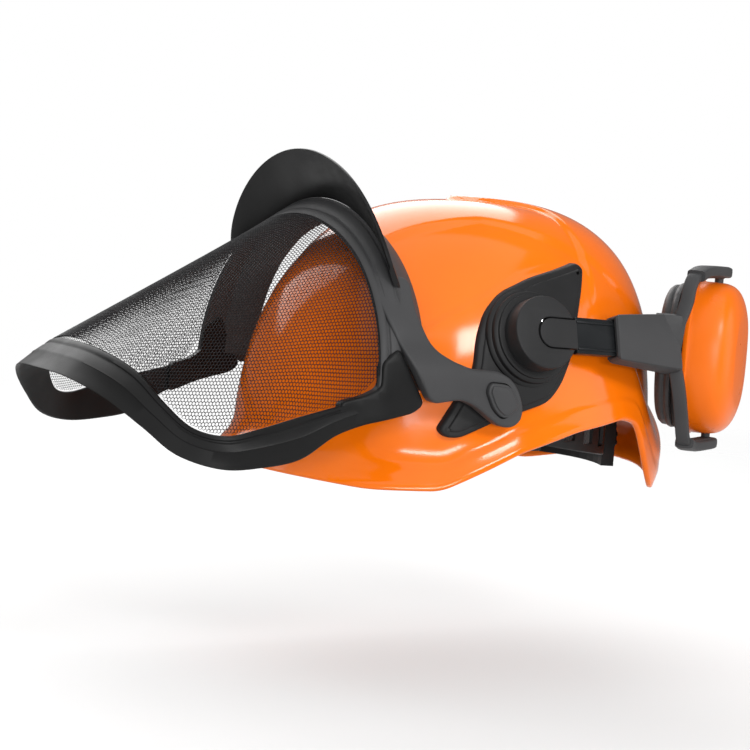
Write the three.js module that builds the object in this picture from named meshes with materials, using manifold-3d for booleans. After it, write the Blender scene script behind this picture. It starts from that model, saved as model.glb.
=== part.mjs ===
// Forestry safety helmet: a hard hat shell with its suspension, a raised mesh visor
// on two side pivots and a pair of ear defenders parked at the back.
// Millimetres. +X is the wearer's left, -Y is the front, +Z is up.
// The origin is the middle of the head opening, level with the shell's side rim.
import * as THREE from 'three';
import { mergeVertices } from 'three/addons/utils/BufferGeometryUtils.js';
import Module from 'manifold-3d';

const wasm = await Module();
wasm.setup();

const { sin, cos, abs, max, min, pow, PI, hypot } = Math;
const rad = THREE.MathUtils.degToRad;
const V = (x, y, z) => new THREE.Vector3(x, y, z);

// ---------------------------------------------------------------- driving dimensions

const gap = 0.4;                 // clear space between pieces that touch

// shell: a superelliptic dome over a superelliptic plan
const shellHalfWidth = 106;
const shellFront = 127;
const shellRear = 131;
const shellCrown = 152;          // height of the top above the headband
const shellBase = -12;           // level where the dome wall would stand upright
const shellPlanPower = 2.17;
const shellDomePower = 2.7;
const shellLean = 12;            // how far the crown sits behind the middle
const shellWall = 2.6;
const shellColumns = 60;
const shellRows = 9;
const brimFlare = 10;            // how far the front brim stands out
const sideFlare = 5;
const napeFlare = 12;
const brimHeight = 22;
const napeHeight = 46;
// rim level along the helmet, front to rear: brim, side, raised ear cut-out, nape lip
const rimLevels = [[-150, 2], [-93, -6], [-60, -5], [-17, 17], [20, 29], [57, 35.5], [72, 32],
  [86, 8], [96, -5], [105, -11], [116, -8], [131, 0], [150, 2]];

// side plate, and the visor pivot on it
const plateThickness = 4.6;
const visorPivot = { y: -38, z: 49 };
const visorPinRadius = 4;
const pivotBossRadius = 10;
const pivotBossFace = 108.4;

// visor arm, hoop and peak
const armInner = 109;
const armOuter = 115.6;
const hoopLevel = 49;            // the hoop is an arch standing on this level
const hoopThickness = 3;
const hoopSteps = 26;
// each edge of the hoop: half width, rise, place along the helmet at the foot and at the top
const hoopFrontEdge = { half: 108, rise: 90, footY: -112, topY: -106 };
const hoopCrest = { half: 108.5, rise: 99, footY: -97, topY: -93 };
const hoopRearEdge = { half: 99, rise: 90, footY: -78, topY: -76 };
const peakHeight = 31;
const peakThickness = 2.2;
const peakEnd = rad(33);         // angle up the hoop where the peak ends

// button that frees the visor arm
const buttonTravel = 1.5;
const buttonThickness = 5.0;
const buttonPocketFloor = 112.0;

// visor frame: two side strips and the chin strip, and the mesh
const stripThickness = 2.8;
const meshThickness = 1.0;
const meshRows = 4;
const meshColumns = 26;
const meshStart = 0.03;          // share of the strip's length left free at each foot
const meshLift = 1.7;            // the mesh stands this far above the strip's edge
const stripSteps = 34;

// ear defender, left one; the right one is its mirror image
const hubCentre = V(116, -11, 84);
const hubTilt = rad(17);         // the hub face looks up this much
const armDroop = rad(2);         // the parked arm falls this much towards the back
const hubRadius = 20.5;
const hubDepth = 11;
const slotStart = -5.5;
const slotHalf = 8.8;
const slotFloor = -8.6;
const tongueHalf = 8.3;
const tongueWideHalf = 10.4;
const tongueInner = -6.0;
const tongueOuter = -1.2;
const tongueStart = -4.3;
const tongueEnd = 78;
const flipPinY = -1;
const flipPinRadius = 1.4;
const yokeStart = 46;
const yokeEnd = 94;
const yokePocketEnd = 81;
const cupCentre = V(98.5, 125, 71);
const cupTurn = rad(40);         // the cup's back looks this far behind the left
const cupHalfWidth = 38;
const cupHalfHeight = 45;
const cupMouth = -12;           // along the cup's axis, outwards from cupCentre
const cupBack = 17;
const cupWall = 3;
const forkPinRadius = 2.6;
const forkTop = 49.5;            // middle of the fork's ends above and below cupCentre
const forkWidth = 8;
const forkThickness = 4;
const bore = 0.35;               // clearance round a pin

// harness
const bandHalfWidth = 80;
const bandHalfLength = 98;
const bandThickness = 1.6;
const bandLow = 13;
const bandHigh = 40;
const padThickness = 4;          // sweatband and nape pad, inside the bands
const padInset = padThickness + 0.6;
const napeHalfWidth = 84.5;
const napeHalfLength = 105;
const napeBandHeight = 24;
const napeBandThickness = 2;
const clipLevel = 46;
const strapWidth = 20;
const strapThickness = 1.2;
const strapTop = 112;
const strapEnd = clipLevel - 5;
const housingOutset = 2.6;
const housingThickness = 8;
const knobCentre = V(0, 0, 12);
const knobRadius = 15;
const pinionRadius = 5;

// ---------------------------------------------------------------- materials

const finish = (color, roughness, metalness = 0) =>
  new THREE.MeshStandardMaterial({ color, roughness, metalness });
const orange = finish(0xf0720c, 0.18);
const blackPlastic = finish(0x242628, 0.5);
const greyPlastic = finish(0x4e4e50, 0.55);
const meshBlack = finish(0x101112, 0.6, 0.3);
const steel = finish(0xb4b6b8, 0.35, 1);
const softBlack = finish(0x2c2d2f, 0.85);
const foamGrey = finish(0x3a3c3e, 0.95);
const webbing = finish(0x1f3b30, 0.9);

// ---------------------------------------------------------------- geometry helpers

const group = new THREE.Group();

function signedVolume(geometry) {
  const p = geometry.attributes.position;
  const index = geometry.index;
  let volume = 0;
  const a = V(), b = V(), c = V();
  for (let i = 0; i < index.count; i += 3) {
    a.fromBufferAttribute(p, index.getX(i));
    b.fromBufferAttribute(p, index.getX(i + 1));
    c.fromBufferAttribute(p, index.getX(i + 2));
    volume += a.dot(b.cross(c)) / 6;
  }
  return volume;
}

function flipFaces(geometry) {
  const index = geometry.index;
  for (let i = 0; i < index.count; i += 3) {
    const second = index.getX(i + 1);
    index.setX(i + 1, index.getX(i + 2));
    index.setX(i + 2, second);
  }
  return geometry;
}

// merges shared vertices, drops triangles that have shrunk to a line, faces the solid outwards
function closed(geometry) {
  const bare = geometry.clone();
  bare.deleteAttribute('normal');
  bare.deleteAttribute('uv');
  const merged = mergeVertices(bare, 1e-4);
  const kept = [];
  for (let i = 0; i < merged.index.count; i += 3) {
    const [a, b, c] = [0, 1, 2].map((k) => merged.index.getX(i + k));
    if (a !== b && b !== c && c !== a) kept.push(a, b, c);
  }
  merged.setIndex(kept);
  return signedVolume(merged) < 0 ? flipFaces(merged) : merged;
}

function triangles(list) {
  const geometry = new THREE.BufferGeometry();
  const numbers = list.flatMap((v) => [v.x, v.y, v.z]);
  geometry.setAttribute('position', new THREE.Float32BufferAttribute(numbers, 3));
  return closed(geometry);
}

const quad = (list, a, b, c, d) => list.push(a, b, c, a, c, d);

// solid between two sheets given as front(row, column) and back(row, column)
function sheetSolid(front, back, rows, columns, wrapped = false) {
  const list = [];
  for (let i = 0; i < rows; i++) {
    for (let j = 0; j < columns; j++) {
      quad(list, front(i, j), front(i + 1, j), front(i + 1, j + 1), front(i, j + 1));
      quad(list, back(i, j), back(i, j + 1), back(i + 1, j + 1), back(i + 1, j));
    }
  }
  for (let j = 0; j < columns; j++) {
    quad(list, front(0, j), front(0, j + 1), back(0, j + 1), back(0, j));
    quad(list, front(rows, j + 1), front(rows, j), back(rows, j), back(rows, j + 1));
  }
  if (!wrapped) {
    for (let i = 0; i < rows; i++) {
      quad(list, front(i + 1, 0), front(i, 0), back(i, 0), back(i + 1, 0));
      quad(list, front(i, columns), front(i + 1, columns), back(i + 1, columns), back(i, columns));
    }
  }
  return triangles(list);
}

// solid through a row of rings, each a list of the same number of corners
function loft(rings) {
  const list = [];
  const n = rings[0].length;
  for (let i = 0; i + 1 < rings.length; i++) {
    for (let j = 0; j < n; j++) {
      const k = (j + 1) % n;
      quad(list, rings[i][j], rings[i + 1][j], rings[i + 1][k], rings[i][k]);
    }
  }
  const last = rings[rings.length - 1];
  for (let j = 1; j + 1 < n; j++) {
    list.push(rings[0][0], rings[0][j], rings[0][j + 1]);
    list.push(last[0], last[j + 1], last[j]);
  }
  return triangles(list);
}

// flat strap or limb along a path, with its width along `across`
function strap(path, across, width, thickness) {
  return loft(path.map((p, i) => {
    const tangent = path[min(i + 1, path.length - 1)].clone().sub(path[max(i - 1, 0)]).normalize();
    const side = across.clone().addScaledVector(tangent, -across.dot(tangent)).normalize();
    const normal = V().crossVectors(tangent, side).multiplyScalar(thickness / 2);
    side.multiplyScalar(width / 2);
    return [p.clone().add(side).add(normal), p.clone().sub(side).add(normal),
      p.clone().sub(side).sub(normal), p.clone().add(side).sub(normal)];
  }));
}

function outline(points, radius = 0) {
  const shape = new THREE.Shape();
  const at = (i) => new THREE.Vector2(...points[(i + points.length) % points.length]);
  points.forEach((_, i) => {
    const corner = at(i);
    const before = at(i - 1).sub(corner);
    const after = at(i + 1).sub(corner);
    const cut = min(radius, before.length() * 0.45, after.length() * 0.45);
    const enter = corner.clone().add(before.setLength(cut));
    const leave = corner.clone().add(after.setLength(cut));
    if (i === 0) shape.moveTo(enter.x, enter.y);
    else shape.lineTo(enter.x, enter.y);
    if (cut > 0) shape.quadraticCurveTo(corner.x, corner.y, leave.x, leave.y);
  });
  shape.closePath();
  return shape;
}

// outline drawn in (Y, Z), standing from x0 to x1
function slabX(points, x0, x1, radius = 0) {
  const options = { depth: x1 - x0, bevelEnabled: false, curveSegments: 3 };
  const geometry = new THREE.ExtrudeGeometry(outline(points, radius), options);
  const standing = new THREE.Matrix4().makeBasis(V(0, 1, 0), V(0, 0, 1), V(1, 0, 0));
  geometry.applyMatrix4(standing.setPosition(x0, 0, 0));
  return closed(geometry);
}

function box(low, high) {
  const geometry = new THREE.BoxGeometry(high.x - low.x, high.y - low.y, high.z - low.z);
  geometry.translate((low.x + high.x) / 2, (low.y + high.y) / 2, (low.z + high.z) / 2);
  return closed(geometry);
}

// round bar from a to b
function bar(a, b, radius, sides = 20) {
  const axis = b.clone().sub(a);
  const geometry = new THREE.CylinderGeometry(radius, radius, axis.length(), sides);
  const turn = new THREE.Quaternion().setFromUnitVectors(V(0, 1, 0), axis.clone().normalize());
  geometry.applyQuaternion(turn);
  geometry.translate(...a.clone().add(b).multiplyScalar(0.5).toArray());
  return closed(geometry);
}

function solid(geometry) {
  const vertProperties = new Float32Array(geometry.attributes.position.array);
  const triVerts = new Uint32Array(geometry.index.array);
  return new wasm.Manifold(new wasm.Mesh({ numProp: 3, vertProperties, triVerts }));
}

function fromSolid(manifold) {
  const mesh = manifold.getMesh();
  const corners = new THREE.Float32BufferAttribute(mesh.vertProperties, mesh.numProp);
  const geometry = new THREE.BufferGeometry();
  geometry.setAttribute('position', corners);
  geometry.setIndex([...mesh.triVerts]);
  return closed(geometry);
}

const joined = (...parts) => fromSolid(parts.map(solid).reduce((a, b) => a.add(b)));
const cutBy = (body, ...tools) =>
  fromSolid(tools.map(solid).reduce((a, b) => a.subtract(b), solid(body)));
const common = (a, b) => fromSolid(solid(a).intersect(solid(b)));

function mirrored(geometry) {
  const copy = geometry.clone();
  copy.scale(-1, 1, 1);
  return flipFaces(copy);
}

function add(name, geometry, material) {
  const mesh = new THREE.Mesh(geometry, material);
  mesh.name = name;
  group.add(mesh);
}

// a piece that exists once on each side of the head
function addPair(name, geometry, material) {
  add(`${name}_left`, geometry, material);
  add(`${name}_right`, mirrored(geometry), material);
}

// ---------------------------------------------------------------- shell

function rimLevel(y) {
  const next = rimLevels.findIndex(([at]) => at > y);
  const [y0, z0] = rimLevels[next - 1];
  const [y1, z1] = rimLevels[next];
  const t = (y - y0) / (y1 - y0);
  return z0 + (z1 - z0) * t;
}

function planRadius(angle, outset) {
  const length = (sin(angle) < 0 ? shellFront : shellRear) + outset;
  const c = pow(abs(cos(angle)) / (shellHalfWidth + outset), shellPlanPower);
  const s = pow(abs(sin(angle)) / length, shellPlanPower);
  return pow(c + s, -1 / shellPlanPower);
}

function rimFlare(angle, level, rim) {
  const forward = max(0, -sin(angle));
  const backward = max(0, sin(angle)) ** 2;
  const brim = THREE.MathUtils.clamp((rim + brimHeight - level) / brimHeight, 0, 1) ** 2;
  const nape = THREE.MathUtils.clamp((rim + napeHeight - level) / napeHeight, 0, 1);
  return (sideFlare + brimFlare * forward ** 3) * brim * (1 - backward)
    + napeFlare * backward * sin(0.85 * PI * nape);
}

// point on the dome: angle round it from the wearer's left, and 0 at the crown to 1 at the rim
function shellPoint(angle, down, outset = 0) {
  const radius = planRadius(angle, outset);
  const rim = rimLevel(planRadius(angle, 0) * sin(angle));
  const rimHeight = (rim - shellBase) / (shellCrown - shellBase);
  const polar = down * Math.acos(pow(max(rimHeight, 0), shellDomePower / 2));
  const out = pow(sin(polar), 2 / shellDomePower);
  const up = pow(cos(polar), 2 / shellDomePower);
  const level = shellBase + (shellCrown + outset - shellBase) * up;
  const reach = down === 0 ? 0 : radius * out + rimFlare(angle, level, rim);
  return V(reach * cos(angle), shellLean * up * up + reach * sin(angle), level);
}

const shellGrid = (outset) => (i, j) =>
  shellPoint((2 * PI * (j % shellColumns)) / shellColumns, i / shellRows, outset);

// everything inside the dome's outer surface, moved out by `outset`
function domeSolid(outset) {
  const surface = shellGrid(outset);
  const middle = V(0, 0, -60);
  const inside = (i) => (i < shellRows ? surface(0, 0) : middle);
  return sheetSolid(surface, inside, shellRows, shellColumns, true);
}

// radius of the shell's inner wall at an angle and a level
function innerWall(angle, level) {
  const up = (level - shellBase) / (shellCrown - shellBase);
  const out = pow(1 - pow(up, shellDomePower), 1 / shellDomePower);
  const p = V(cos(angle), sin(angle), 0).multiplyScalar(planRadius(angle, -shellWall) * out);
  return p.setY(p.y + shellLean * up * up).setZ(level);
}

const shell = sheetSolid(shellGrid(0), shellGrid(-shellWall), shellRows, shellColumns, true);
add('shell', shell, orange);

// ---------------------------------------------------------------- side plates

const plateOutline = [[-61, 23], [-54, 23], [-31, 34], [0, 44], [9, 54], [17, 70], [25, 95], [36, 119],
  [32, 122], [-5, 112], [-26, 103], [-37, 92], [-43, 78], [-46, 60], [-57, 41], [-65, 27]];

function domeLayer(points, inner, outer, radius) {
  const band = common(slabX(points, 60, 140, radius), domeSolid(outer));
  return cutBy(band, domeSolid(inner));
}

const pinAt = (x0, x1, radius, sides) =>
  bar(V(x0, visorPivot.y, visorPivot.z), V(x1, visorPivot.y, visorPivot.z), radius, sides);

function sidePlate() {
  const plate = domeLayer(plateOutline, 0.7, plateThickness + 0.7, 5);
  const boss = cutBy(pinAt(98, pivotBossFace, pivotBossRadius), domeSolid(2));
  return cutBy(joined(plate, boss), pinAt(104, 130, visorPinRadius + bore));
}
addPair('side_plate', sidePlate(), blackPlastic);

// ---------------------------------------------------------------- visor bracket

// point on an edge of the hoop; turn 0 is the wearer's left, PI the right
const hoopPoint = (edge, turn) => V(edge.half * cos(turn),
  edge.footY + (edge.topY - edge.footY) * sin(turn), hoopLevel + edge.rise * sin(turn));

function hoop() {
  const edges = [hoopFrontEdge, hoopCrest, hoopRearEdge];
  const sheet = (inset) => (i, j) => {
    const turn = (PI * j) / hoopSteps;
    return hoopPoint(edges[i], turn).addScaledVector(V(cos(turn), 0, sin(turn)), -inset);
  };
  return sheetSolid(sheet(0), sheet(hoopThickness), 2, hoopSteps);
}

// arm outline, from the hoop's foot back to the round end at the pivot
const armOutline = [[-109.4, 35], [-88, 42], [-70, 45], [-50, 36], [-36, 33], [-25, 39], [-22, 49],
  [-27, 59], [-40, 63], [-59, 62], [-74, 67], [-82, 76], [-109.4, 68]];
const footOutline = [[-109.4, 35], [-80, 42], [-80, 74], [-109.4, 68]];
const buttonOutline = (grow) => [[-48.5 - grow, 55 + grow], [-34 + grow, 54 + grow],
  [-26.5 + grow, 42], [-35 + grow, 36 - grow], [-44 - grow, 40 - grow]];

function visorArm() {
  const arm = slabX(armOutline, armInner, armOuter, 5);
  const foot = slabX(footOutline, armInner - 5.5, armOuter - 3, 3);
  const pocket = slabX(buttonOutline(gap), buttonPocketFloor, 130, 4);
  return cutBy(joined(arm, foot), pocket, pinAt(90, 130, visorPinRadius + bore));
}

const arm = visorArm();
add('visor_bracket', joined(hoop(), arm, mirrored(arm)), blackPlastic);
addPair('visor_pivot_pin', pinAt(104.4, buttonPocketFloor - gap, visorPinRadius), steel);

const buttonInner = buttonPocketFloor + buttonTravel + 0.3;
const button = slabX(buttonOutline(-0.2), buttonInner, buttonInner + buttonThickness, 4);
addPair('visor_button', button, blackPlastic);

// ---------------------------------------------------------------- peak

function peak() {
  const rings = [];
  for (let i = 0; i <= hoopSteps; i++) {
    const turn = peakEnd + ((PI - 2 * peakEnd) * i) / hoopSteps;
    const outward = V(cos(turn), 0, sin(turn));
    const rise = V(0.2 * cos(turn), -0.52, 0.85);
    const fullness = pow(max(0, sin((PI * i) / hoopSteps)), 0.34);
    const height = 3 + (peakHeight - 3) * fullness;
    const foot = hoopPoint(hoopCrest, turn).addScaledVector(outward, gap);
    const top = foot.clone().addScaledVector(rise, height);
    const back = V(0, peakThickness, 0);
    rings.push([foot.clone().add(back), foot, top, top.clone().add(back)]);
  }
  return loft(rings);
}
add('visor_peak', peak(), blackPlastic);

// ---------------------------------------------------------------- visor frame and mesh

// half of the strip from the hoop's foot to the nose; along runs from 0 to 1
const meshEdge = new THREE.CatmullRomCurve3([
  V(104, -112, 46), V(104.5, -135, 40), V(105, -157, 34.5), V(104.5, -180, 28), V(101, -197, 24),
  V(91, -211, 27), V(78, -221, 38), V(60, -229, 52), V(32, -237, 60.5), V(0, -240, 62.5),
]);
const lowerEdge = new THREE.CatmullRomCurve3([
  V(104, -110, 33), V(104.5, -134, 25), V(105, -155, 12.5), V(104.5, -177, 8), V(102, -199, 7),
  V(91, -219, 13), V(79, -233, 25.5), V(61, -246, 38), V(33, -256, 46), V(0, -259, 47.5),
]);

// both edges over the whole strip, left foot to right foot, as along runs from 0 to 2
function wholeCurve(curve, along) {
  const point = curve.getPoint(along <= 1 ? along : 2 - along);
  return along <= 1 ? point : point.setX(-point.x);
}

// the strip's thickness lies towards a line down the middle of the visor
const visorMiddle = -150;

function stripSheet(inset) {
  return (i, j) => {
    const along = (2 * j) / stripSteps;
    const top = wholeCurve(meshEdge, along);
    const low = wholeCurve(lowerEdge, along);
    const inward = V(-top.x, max(0, visorMiddle - top.y), 0).normalize();
    return top.lerp(low, i).addScaledVector(inward, inset);
  };
}

const halfStrip = stripThickness / 2;
const frame = sheetSolid(stripSheet(-halfStrip), stripSheet(halfStrip), 1, stripSteps);
add('visor_frame', frame, blackPlastic);

function meshSheet(inset) {
  return (i, j) => {
    const whole = j / meshColumns;
    const turn = meshStart * PI * (1 - 2 * whole) + PI * whole;
    const along = 2 * (meshStart * (1 - 2 * whole) + whole);
    const back = hoopPoint(hoopFrontEdge, turn).add(V(0, -gap, 0));
    const front = wholeCurve(meshEdge, along).add(V(0, 0, meshLift));
    const inward = V(-cos(turn), 0, -sin(turn)).multiplyScalar(inset);
    return back.lerp(front, i / meshRows).add(inward);
  };
}

const halfMesh = meshThickness / 2;
const mesh = sheetSolid(meshSheet(-halfMesh), meshSheet(halfMesh), meshRows, meshColumns);
add('visor_mesh', mesh, meshBlack);

// ---------------------------------------------------------------- ear defenders

// hub pieces are drawn in the hub's own axes: X out of its face, Y back, Z up
function placeHub(geometry) {
  const turned = geometry.clone();
  turned.rotateX(-armDroop);
  turned.rotateY(-hubTilt);
  turned.translate(hubCentre.x, hubCentre.y, hubCentre.z);
  return turned;
}

const hubDisc = (x0, x1, radius, sides = 32) => bar(V(x0, 0, 0), V(x1, 0, 0), radius, sides);
const flipPinX = (tongueInner + tongueOuter) / 2;
const flipPin = (length, radius) =>
  bar(V(flipPinX, flipPinY, -length / 2), V(flipPinX, flipPinY, length / 2), radius, 12);

function hubBase() {
  const lower = placeHub(hubDisc(-26, -hubDepth - 3.6, 28));
  const upper = placeHub(hubDisc(-26, -hubDepth - gap, 25));
  return cutBy(joined(lower, upper), domeSolid(plateThickness + 0.7 + gap + 0.2));
}

function hubCap() {
  const slotOutline = [[slotStart, -slotHalf], [40, -slotHalf], [40, slotHalf], [slotStart, slotHalf]];
  const slot = slabX(slotOutline, slotFloor, 10, 7);
  return placeHub(cutBy(hubDisc(-hubDepth, 0, hubRadius), slot, flipPin(30, flipPinRadius + bore)));
}

// the arm is narrow inside the hub's slot and wider beyond it
function tongue() {
  const lower = [[tongueStart, -tongueHalf], [20.8, -tongueHalf], [22, -tongueWideHalf],
    [tongueEnd, -tongueWideHalf]];
  const upper = lower.map(([y, z]) => [y, -z]).reverse();
  const plain = slabX([...lower, ...upper], tongueInner, tongueOuter, 7);
  return placeHub(cutBy(plain, flipPin(40, flipPinRadius + bore)));
}

// the cup's own axes: X out of its back, Y sideways, Z up
function placeCup(geometry) {
  const turned = geometry.clone();
  turned.rotateZ(cupTurn);
  turned.translate(cupCentre.x, cupCentre.y, cupCentre.z);
  return turned;
}

// oval ring of corners at a place along the cup's axis
function oval(x, halfWidth, halfHeight, count = 24) {
  const ring = [];
  for (let j = 0; j < count; j++) {
    const t = (2 * PI * j) / count;
    const c = Math.sign(cos(t)) * pow(abs(cos(t)), 0.85);
    const s = Math.sign(sin(t)) * pow(abs(sin(t)), 0.85);
    ring.push(V(x, halfWidth * c, halfHeight * s));
  }
  return ring;
}

// bowl of the cup: half sizes at places along its axis, from the mouth to the back
function bowl(inset, mouth) {
  const depth = cupBack - cupMouth - inset;
  const rings = [];
  for (let i = 0; i <= 6; i++) {
    const t = i / 6;
    const shrink = pow(1 - pow(t, 6) * 0.6, 0.5);
    rings.push(oval(mouth + (cupMouth + depth - mouth) * t,
      (cupHalfWidth - inset) * shrink, (cupHalfHeight - inset) * shrink));
  }
  return loft(rings);
}

const ovalPlate = (x0, x1, halfWidth, halfHeight) =>
  loft([oval(x0, halfWidth, halfHeight), oval(x1, halfWidth, halfHeight)]);

function cushion() {
  const rings = [oval(-28.6, 27, 34), oval(-27.2, 31.2, 38.2), oval(-23, 34.6, 41.6),
    oval(cupMouth - 6, 36, 43)];
  return cutBy(loft(rings), ovalPlate(-40, 0, 19, 25));
}

const forkPin = (z0, z1, radius) =>
  bar(cupCentre.clone().add(V(0, 0, z0)), cupCentre.clone().add(V(0, 0, z1)), radius, 16);

function cup() {
  const shellOfCup = cutBy(bowl(0, cupMouth), bowl(cupWall, cupMouth - 2));
  const bosses = [box(V(-7, -7, 36), V(7, 7, 45.6)), box(V(-7, -7, -45.6), V(7, 7, -36))];
  const placed = placeCup(joined(shellOfCup, ...bosses));
  return cutBy(placed, forkPin(38, 60, forkPinRadius + bore), forkPin(-60, -38, forkPinRadius + bore));
}

// one limb of the fork: out of the sleeve, up or down, and over the end of the cup
function forkLimb(way) {
  const end = cupCentre.z + way * forkTop;
  const path = [V(112, 75, 79 + way * 8), V(117, 82, 79 + way * 15), V(118.4, 84.7, 78 + way * 26),
    V(118, 87.5 - way, 75 + way * 38), V(115.5, 93 - way, end - way * 1.5), V(108, 106, end),
    cupCentre.clone().setZ(end), V(95, 130, end)];
  return strap(path, V(cos(cupTurn), sin(cupTurn), 0), forkWidth, forkThickness);
}

function yoke() {
  const sleeve = slabX([[yokeStart, -12.5], [yokeStart + 14, -14], [yokeEnd, -17], [yokeEnd, 17],
    [yokeStart + 14, 14], [yokeStart, 12.5]], -9, 2.2, 2.5);
  const pocket = box(V(tongueInner - gap, 0, -tongueWideHalf - gap),
    V(tongueOuter + gap, yokePocketEnd, tongueWideHalf + gap));
  const body = placeHub(cutBy(sleeve, pocket));
  const pins = [forkPin(40, forkTop, forkPinRadius), forkPin(-forkTop, -40, forkPinRadius)];
  return joined(body, forkLimb(1), forkLimb(-1), ...pins);
}

addPair('ear_hub_base', hubBase(), blackPlastic);
addPair('ear_hub_cap', hubCap(), blackPlastic);
addPair('ear_hinge_pin', placeHub(flipPin(30, flipPinRadius)), steel);
addPair('ear_arm', tongue(), blackPlastic);
addPair('ear_yoke', yoke(), greyPlastic);
addPair('ear_cup', cup(), orange);
const cupRing = cutBy(ovalPlate(cupMouth - 5.6, cupMouth - gap, 37, 44), ovalPlate(-30, 0, 22, 28));
addPair('ear_cup_ring', placeCup(cupRing), softBlack);
addPair('ear_foam', placeCup(ovalPlate(-8, 6, 29, 35)), foamGrey);
addPair('ear_cushion', placeCup(cushion()), softBlack);

// ---------------------------------------------------------------- harness

const onBand = (angle, halfWidth, halfLength) => V(halfWidth * cos(angle), halfLength * sin(angle), 0);

// curved strip round the head between two angles
function bandStrip(from, to, steps, halfWidth, halfLength, thickness, lowAt, highAt) {
  const at = (outset) => (i, j) => {
    const angle = from + ((to - from) * j) / steps;
    const p = onBand(angle, halfWidth + outset, halfLength + outset);
    return p.setZ(i === 0 ? lowAt(p.y) : highAt(p.y));
  };
  return sheetSolid(at(0), at(thickness), 1, steps);
}

const headband = bandStrip(rad(170), rad(370), 22, bandHalfWidth, bandHalfLength, bandThickness,
  () => bandLow, () => bandHigh);
add('headband_front', headband, blackPlastic);

const sweatband = bandStrip(rad(200), rad(340), 16, bandHalfWidth - padInset, bandHalfLength - padInset,
  padThickness, () => bandLow + 1, () => bandHigh - 2);
add('sweatband', sweatband, foamGrey);

// the nape band falls a little towards the back
const napeLow = (y) => 20 - 0.15 * (y + 6);

function napeBand() {
  const band = bandStrip(rad(-4), rad(184), 28, napeHalfWidth, napeHalfLength, napeBandThickness,
    napeLow, (y) => napeLow(y) + napeBandHeight);
  const windows = [20, 32, 45].map((angle) => {
    const p = onBand(rad(angle), napeHalfWidth, napeHalfLength);
    const window = new THREE.BoxGeometry(12, 11, 13);
    window.rotateZ(rad(angle));
    window.translate(p.x, p.y, napeLow(p.y) + 11.5);
    return closed(window);
  });
  return cutBy(band, ...windows, ...windows.map(mirrored));
}
add('nape_band', napeBand(), blackPlastic);

function ratchetHousing() {
  const outer = bandStrip(rad(68), rad(112), 8,
    napeHalfWidth + housingOutset, napeHalfLength + housingOutset,
    housingThickness, () => -3, () => 27);
  const pinionPocket = bar(V(0, 100, knobCentre.z), V(0, 112.5, knobCentre.z), 8);
  const shaftBore = bar(V(0, 100, knobCentre.z), V(0, 130, knobCentre.z), 3 + bore);
  return cutBy(outer, pinionPocket, shaftBore);
}
add('ratchet_housing', ratchetHousing(), blackPlastic);

function gearOutline(teeth, root, tip) {
  const points = [];
  for (let i = 0; i < teeth; i++) {
    for (const [part, radius] of [[0.05, root], [0.3, tip], [0.55, tip], [0.8, root]]) {
      const angle = (2 * PI * (i + part)) / teeth;
      points.push(new THREE.Vector2(radius * cos(angle), radius * sin(angle)));
    }
  }
  return new THREE.Shape(points);
}

function turnedToRear(geometry, y) {
  geometry.rotateX(PI / 2);
  geometry.translate(0, y, knobCentre.z);
  return closed(geometry);
}

function pinion() {
  const shape = gearOutline(10, pinionRadius - 0.6, pinionRadius + 1.2);
  const gear = turnedToRear(new THREE.ExtrudeGeometry(shape, { depth: 3.6, bevelEnabled: false }), 112);
  return cutBy(gear, bar(V(0, 100, knobCentre.z), V(0, 120, knobCentre.z), 2.5 + 0.3, 16));
}
add('ratchet_pinion', pinion(), steel);

function knob() {
  const shape = gearOutline(16, knobRadius - 1.2, knobRadius);
  const grip = turnedToRear(new THREE.ExtrudeGeometry(shape, { depth: 9, bevelEnabled: false }), 125.6);
  const shaft = bar(V(0, 108.4, knobCentre.z), V(0, 118, knobCentre.z), 2.5, 16);
  return joined(grip, shaft);
}
add('ratchet_knob', knob(), blackPlastic);

const napePad = bandStrip(rad(66), rad(114), 8, napeHalfWidth - padInset, napeHalfLength - padInset,
  padThickness, () => 4, () => 26);
add('nape_pad', napePad, foamGrey);

// crown straps and the clips that hang them from the shell
const strapAngles = [90, 30, 150];
strapAngles.forEach((degrees, layer) => {
  const angle = rad(degrees);
  const path = [];
  for (let i = 0; i <= 16; i++) {
    const swing = (PI * i) / 16;
    const end = innerWall(i <= 8 ? angle : angle + PI, clipLevel);
    const reach = hypot(end.x, end.y) - 10.4;
    const out = Math.sign(cos(swing)) * pow(abs(cos(swing)), 0.85) * reach;
    const top = strapTop + layer * (strapThickness + 1.2);
    const level = strapEnd + (top - strapEnd) * pow(sin(swing), 0.85);
    path.push(V(cos(angle) * out, sin(angle) * out, level));
  }
  const across = V(-sin(angle), cos(angle), 0);
  add(`crown_strap_${layer + 1}`, strap(path, across, strapWidth, strapThickness), webbing);
});

const clipNames = ['rear_left', 'rear', 'rear_right', 'front_right', 'front', 'front_left'];
clipNames.forEach((name, i) => {
  const angle = rad(30 + 60 * i);
  const wall = innerWall(angle, clipLevel);
  const clip = new THREE.BoxGeometry(4, 24, 14);
  clip.translate(hypot(wall.x, wall.y) - 6.4, 0, clipLevel);
  clip.rotateZ(angle);
  add(`harness_clip_${name}`, closed(clip), blackPlastic);
});

export default group;
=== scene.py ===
"""Looks of the forestry safety helmet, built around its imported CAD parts.

Shapes are worked out in millimetres in the row frame and scaled to metres when a piece is made.
+X is the wearer's left, -Y the front, +Z up.
"""

import math

import bmesh
import bpy
import numpy as np
from mathutils import Matrix, Vector


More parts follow.
